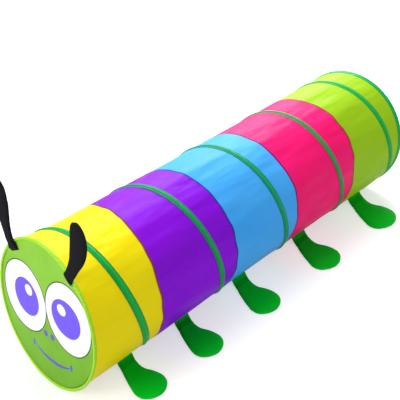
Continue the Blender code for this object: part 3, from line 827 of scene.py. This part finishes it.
# Painted shade: the face grows darker toward its bottom, mixed with a random mottle
painted_shade_low = ramp(face_tree, face_parts[1], 0.16, -0.24, 0.8)
patches = stretched_noise(face_tree, face_metres, 7, 7, 2)
mottle_and_shade = maths(face_tree, "SUBTRACT", maths(face_tree, "ADD", painted_shade_low, patches), 0.35, use_clamp=True)
face_colour = tinted(face_tree, mottle_and_shade, FACE_LIME, FACE_DEEP_AND_SHADE)
for line, line_ink, ink_and_shade, *ovals in PRINT_PAIRS:
    for grown, shown in ((line, line_ink), (0, ink_and_shade)):
        for middle, (half_across, half_up) in ovals if shown else ():
            oval = oval_mask(middle, (half_across + grown, half_up + grown))
            face_colour = tinted(face_tree, oval, face_colour, shown)
inside_low, inside_high = [
    oval_mask(middle, (radius, radius)) for middle, radius in zip(SMILE_MIDDLES, SMILE_RADII)
]
outside_high = maths(face_tree, "SUBTRACT", 1.0, inside_high)
under_top = ramp(face_tree, face_parts[1], SMILE_TOP + PRINT_SOFT, SMILE_TOP - PRINT_SOFT)
smile = product(face_tree, product(face_tree, inside_low, outside_high), under_top)
face_colour = tinted(face_tree, smile, face_colour, PRINT_BLUE)
face_threads = weave(face_tree, face_metres, FACE_THREAD)
face_colour = tinted(face_tree, product(face_tree, face_threads, 0.07), face_colour, FACE_DEEP_AND_SHADE)
dress(face_shader, face_colour, [
    (stretched_noise(face_tree, face_metres, 12, 9, 3, 3), 0.003),
    (stretched_noise(face_tree, face_metres, 70, 70, 3, 5), 0.0003),
    (face_threads, 0.00007),
])

ring_shares = (np.arange(FACE_RINGS + 1) / FACE_RINGS) ** 0.85
face_angles = np.arange(FACE_STEPS) / FACE_STEPS * 2 * np.pi
up_at_edge = FACE_RADIUS * np.cos(face_angles)
sewn = eased(unit((up_at_edge - HINGE_HEIGHT + HEADER_SEWN) / (2 * HEADER_SEWN)))
edge_radius = FACE_RADIUS + HEADER_TUCK - (FLAP_CLEARANCE + HEADER_TUCK) * (1 - sewn)
from_centre = ring_shares[1:, None] * edge_radius
across, up = [np.append((from_centre * part(face_angles)).ravel(), 0) for part in (np.sin, np.cos)]
from_middle = np.hypot(across, up) / FACE_RADIUS
turned = np.arctan2(across, up)
outward = FACE_BULGE * (1 - from_middle**2)
for depth, count, shift, fading in FACE_SWAGS:
    swag = depth * np.sin(count * turned + shift)
    outward += swag * from_middle**fading * (1 - from_middle ** (2 * fading))
depth, (crease_across, crease_up), slant, half_width, half_length = HEADER_CREASE
off_crease = (across - crease_across - slant * (up - crease_up)) / half_width
outward -= depth * np.exp(-(off_crease**2) - ((up - crease_up) / half_length) ** 2)
depth, half_width = HINGE_DIP
outward -= depth * np.exp(-(((up - HINGE_HEIGHT) / half_width) ** 2)) * (1 - from_middle**8)
face_points = head_centre + np.stack([across, up, outward], axis=-1) @ face_frame
centre_index = FACE_RINGS * FACE_STEPS
inner, step = np.meshgrid(np.arange(FACE_RINGS - 1) * FACE_STEPS, np.arange(FACE_STEPS), indexing="ij")
outer, after = inner + FACE_STEPS, (step + 1) % FACE_STEPS
face_quads = np.stack([inner + step, outer + step, outer + after, inner + after], axis=-1)
face_faces = face_quads.reshape(-1, 4).tolist()
face_faces += [(centre_index, step, (step + 1) % FACE_STEPS) for step in range(FACE_STEPS)]
level_places = (face_points - head_centre) @ np.array([LEVEL_ACROSS, (0, 0, 1)]).T
face_places = level_places[np.concatenate(face_faces)]
face = mesh_piece("face_cloth", face_points, face_faces, face_places, face_print)
thicken(face, FACE_CLOTH, 0)
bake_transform(face)
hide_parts("face_header", "face_flap")

# The antennae are thin pads of black felt, sewn together round their edge and to the header at their foot.
# They stand up in front of the bound edge, and each leans and spreads in its own way.
PAD_FRAMES = 14
PAD_EDGE = 2.6
PAD_WELD = 2e-5
PAD_CLOTH = {
    "quality": 5, "mass": 0.12, "tension_stiffness": 25, "compression_stiffness": 25, "shear_stiffness": 12,
    "bending_stiffness": 0.4, "use_pressure": True, "uniform_pressure_force": 4.0,
}


def smooth_rows(table, spacing):
    """Points along a smooth line through a table's rows, about so far apart in its first two columns."""
    padded = np.vstack([2 * table[0] - table[1], table, 2 * table[-1] - table[-2]])
    made = []
    for before, low, high, beyond in zip(padded, padded[1:], padded[2:], padded[3:]):
        pieces = max(2, int(math.ceil(np.linalg.norm(high[:2] - low[:2]) / spacing)))
        share = (np.arange(pieces) / pieces)[:, None]
        made.append(0.5 * (
            2 * low + (high - before) * share + (2 * before - 5 * low + 4 * high - beyond) * share**2
            + (3 * low - before - 3 * high + beyond) * share**3
        ))
    made.append(table[-1:])
    return np.vstack(made)


def sewn_pad(name, middles, sideways, outward, halves, thick, columns, material):
    """Two layers of cloth, sewn together round the edge. Each row has its middle and its half width."""
    spread = np.sin(np.linspace(-1, 1, columns) * np.pi / 2)
    crown = np.sqrt(unit(1 - np.abs(spread) ** PAD_EDGE))
    closed = np.ones(len(middles))
    closed[0] = closed[-1] = 0
    flat = middles[:, None] + (halves[:, None] * spread)[..., None] * sideways[:, None]
    raised = (thick * closed)[:, None] * crown / 2
    width = halves[:, None] * spread
    length = np.repeat(arc_along(middles)[:, None], columns, axis=1)
    lift = raised[..., None] * outward[:, None]
    top = grid_piece(name, flat + lift, width, length, material)
    bottom = grid_piece(f"{name}_back", flat - lift, width, length, material)
    bottom.data.flip_normals()
    shape = bmesh.new()
    shape.from_mesh(top.data)
    shape.from_mesh(bottom.data)
    bmesh.ops.remove_doubles(shape, verts=shape.verts, dist=PAD_WELD)
    bmesh.ops.recalc_face_normals(shape, faces=shape.faces)
    shape.to_mesh(top.data)
    shape.free()
    bpy.data.objects.remove(bottom)
    top.data.shade_smooth()
    return top


def fill_pad(pad, held_points, most):
    """Fills the pad by cloth simulation, with its sewn foot held, and no point moved further than most."""
    rest = np.array([vert.co for vert in pad.data.vertices])
    holding = pad.vertex_groups.new(name="held")
    holding.add([int(index) for index in held_points], 1.0, "REPLACE")
    cloth = pad.modifiers.new("filling", "CLOTH")
    cloth.settings.vertex_group_mass = "held"
    for setting, value in PAD_CLOTH.items():
        setattr(cloth.settings, setting, value)
    cloth.settings.effector_weights.gravity = 0
    cloth.collision_settings.use_collision = False
    for frame_number in range(1, PAD_FRAMES + 1):
        scene.frame_set(frame_number)
    settle(pad)
    pad.vertex_groups.clear()
    scene.frame_set(1)
    move = np.array([vert.co for vert in pad.data.vertices]) - rest
    far = np.linalg.norm(move, axis=1)
    kept = rest + move * (np.minimum(far, most) / np.maximum(far, 1e-9))[:, None]
    pad.data.vertices.foreach_set("co", kept.astype(np.float32).ravel())


ANTENNA_LENGTH = 0.24
ANTENNA_BREADTH = 0.085
ANTENNA_THICKNESS = 0.0065
ANTENNA_CLIMB = 0.012
# How far its back stands from the face: at the foot, and where it has climbed over the bound edge
ANTENNA_BACKS = (0.00105, 0.00596)
ANTENNA_ROW = 0.004
ANTENNA_COLUMNS = 23
ANTENNA_FILL = 0.0022
# Each antenna: its side, its seat as shares of the face's radius, its lean at foot and tip, and its bow
ANTENNAE = {"right": (1, 0.6, 0.73, 42, 3, 0.008), "left": (-1, 0.54, 0.72, 24, -2, -0.003)}
# An antenna's outline as shares: along it, and its half width
ANTENNA_OUTLINE = (
    (0.0, 0.52), (0.07, 0.52), (0.2, 0.54), (0.36, 0.66), (0.5, 0.86), (0.64, 1.0), (0.78, 1.02),
    (0.89, 0.89), (0.955, 0.66), (0.988, 0.38), (1.004, 0.0),
)
# How far up its sewn foot an antenna is held, and where it reaches its full thickness
ANTENNA_HELD = 0.014
ANTENNA_FULL = 0.01

felt, felt_tree, felt_shader, felt_metres = new_finish("antenna_felt", 0.75, Specular_IOR_Level=0.06)
fibres = stretched_noise(felt_tree, felt_metres, 900, 500, 4)
felt_colour = tinted(felt_tree, fibres, (0.003, 0.003, 0.0046, 1), (0.0085, 0.0085, 0.012, 1))
waves = stretched_noise(felt_tree, felt_metres, 40, 25, 3, 6)
dress(felt_shader, felt_colour, [(waves, 0.0012), (fibres, 0.0002)])

for side_name, (side, seat_across, seat_up, base_splay, tip_splay, bow) in ANTENNAE.items():
    outline = smooth_rows(np.array(ANTENNA_OUTLINE) * (ANTENNA_LENGTH, ANTENNA_BREADTH / 2), ANTENNA_ROW)
    shares = outline[:, 0] / ANTENNA_LENGTH
    splays = np.radians(base_splay + (tip_splay - base_splay) * shares)
    steps = np.diff(outline[:, 0], prepend=0)
    across = seat_across * FACE_RADIUS + np.cumsum(steps * np.sin(splays))
    across += bow * np.sin(np.pi * unit(shares) ** 1.6)
    up = seat_up * FACE_RADIUS + np.cumsum(steps * np.cos(splays))
    climbed = unit(outline[:, 0] / ANTENNA_CLIMB)
    backs = ANTENNA_BACKS[0] + (ANTENNA_BACKS[1] - ANTENNA_BACKS[0]) * climbed
    thick = ANTENNA_THICKNESS * unit(0.5 + outline[:, 0] / (2 * ANTENNA_FULL))
    places = np.stack([side * across, up, backs + thick / 2], axis=-1)
    middles = head_centre + places @ face_frame
    sideways = np.stack([side * np.cos(splays), -np.sin(splays), 0 * splays], axis=-1) @ face_frame
    pad = sewn_pad(
        f"antenna_pad_{side_name}", middles, sideways, face_frame[2:], outline[:, 1], thick,
        ANTENNA_COLUMNS, felt,
    )
    held_up_to = middles[0] @ face_frame[1] + ANTENNA_HELD
    held = [vert.index for vert in pad.data.vertices if vert.co @ FACE_UP < held_up_to]
    fill_pad(pad, held, ANTENNA_FILL)
    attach(pad, f"antenna_{side_name}")
    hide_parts(f"antenna_{side_name}")

# The feet are thin pads of green satin that lie on the floor. Each is sewn to the flank by its inner edge,
# bends down from that seam, and sweeps a little toward the head. The left ones mirror the right ones, but
# the first of them is sewn further back.
FOOT_LENGTH = 0.244
FOOT_BREADTH = 0.144
FOOT_THICKNESS = 0.0052
FOOT_SEAM_THICKNESS = 0.0016
# A foot's underside at its seam: how far from the middle, and how high
FOOT_ROOT = (0.09068, 0.02053)
FOOT_HELD = 0.012
# Where a foot has come down to the floor, as a share of its length
FOOT_DOWN = 0.13
# The crease across a foot: height, place and half width
FOOT_CREASE = (0.0016, 0.062, 0.006)
FOOT_ROW = 0.0045
FOOT_COLUMNS = 31
FOOT_FILL = 0.0022
# Each pair of feet, from the head: its size, breadth and bend as shares
FOOT_SHARES = (
    (0.95, 1.0, 0.85), (0.98, 1.0, 0.92), (1.0, 1.04, 1.0), (1.04, 1.08, 1.06), (1.08, 1.12, 1.13),
)
# A foot's outline as shares: along it, its half width, and its sweep toward the head
FOOT_OUTLINE = (
    (0.0, 0.53, 0.0), (0.06, 0.53, 0.02), (0.13, 0.54, 0.06), (0.25, 0.56, 0.14), (0.42, 0.67, 0.23),
    (0.58, 0.88, 0.27), (0.74, 1.0, 0.32), (0.87, 0.88, 0.36), (0.95, 0.6, 0.38), (0.99, 0.3, 0.385),
    (1.003, 0.0, 0.386),
)

foot_satin, satin_tree, satin_shader, satin_metres = new_finish("foot_satin", 0.45, Specular_IOR_Level=0.04)
satin_threads = weave(satin_tree, satin_metres, 0.0006)
satin_mottle = stretched_noise(satin_tree, satin_metres, 14, 14, 2)
satin_colour = tinted(satin_tree, satin_mottle, (0.0, 0.6, 0.024, 1), (0.0, 0.46, 0.014, 1))
thread_dark = product(satin_tree, satin_threads, 0.1)
satin_colour = tinted(satin_tree, thread_dark, satin_colour, (0.0, 0.14, 0.01, 1))
waves = stretched_noise(satin_tree, satin_metres, 30, 16, 3, 6)
dress(satin_shader, satin_colour, [(waves, 0.0016), (satin_threads, 0.00006)])

for number, (size, breadth_share, bend_share) in enumerate(FOOT_SHARES, 1):
    neck, left_neck = FOOT_SEAMS[1][number - 1], FOOT_SEAMS[-1][number - 1]
    length, half_breadth = size * FOOT_LENGTH, size * breadth_share * FOOT_BREADTH / 2
    outline = smooth_rows(np.array(FOOT_OUTLINE) * (length, half_breadth, bend_share * length), FOOT_ROW)
    out = outline[:, 0]
    down = unit(out / (FOOT_DOWN * length))
    thick = FOOT_SEAM_THICKNESS + (FOOT_THICKNESS - FOOT_SEAM_THICKNESS) * eased(down)
    bottoms = FLOOR_CLEAR + FOOT_ROOT[1] * (1 - 0.5 * down - 0.5 * eased(down))
    crease_height, crease_at, crease_half = FOOT_CREASE
    crease = crease_height * np.exp(-(((out - crease_at * size) / crease_half) ** 2))
    heights = bottoms + crease + thick / 2
    middles = np.stack([FOOT_ROOT[0] + out, neck - outline[:, 2], heights], axis=-1)
    tangent = np.gradient(middles[:, [0, 2]], axis=0)
    tangent /= np.linalg.norm(tangent, axis=1)[:, None]
    outward = np.stack([-tangent[:, 1], 0 * tangent[:, 0], tangent[:, 0]], axis=-1)
    outward[-3:] = (0, 0, 1)
    pad = sewn_pad(
        f"foot_pad_right_{number}", middles, np.array([[0, 1, 0]]), outward, outline[:, 1], thick,
        FOOT_COLUMNS, foot_satin,
    )
    held = [vert.index for vert in pad.data.vertices if vert.co.x < FOOT_ROOT[0] + FOOT_HELD]
    fill_pad(pad, held, FOOT_FILL)
    for vert in pad.data.vertices:
        vert.co.z = max(vert.co.z, FLOOR_CLEAR)
    mirrored = added(f"foot_pad_left_{number}", pad.data.copy())
    mirrored.data.transform(Matrix.Scale(-1, 4, (1, 0, 0)))
    mirrored.data.flip_normals()
    mirrored.data.transform(Matrix.Translation((0, left_neck - neck, 0)))
    for side_name, foot in (("right", pad), ("left", mirrored)):
        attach(foot, f"foot_{side_name}_{number}")
        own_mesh(foot)
        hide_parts(f"foot_{side_name}_{number}")
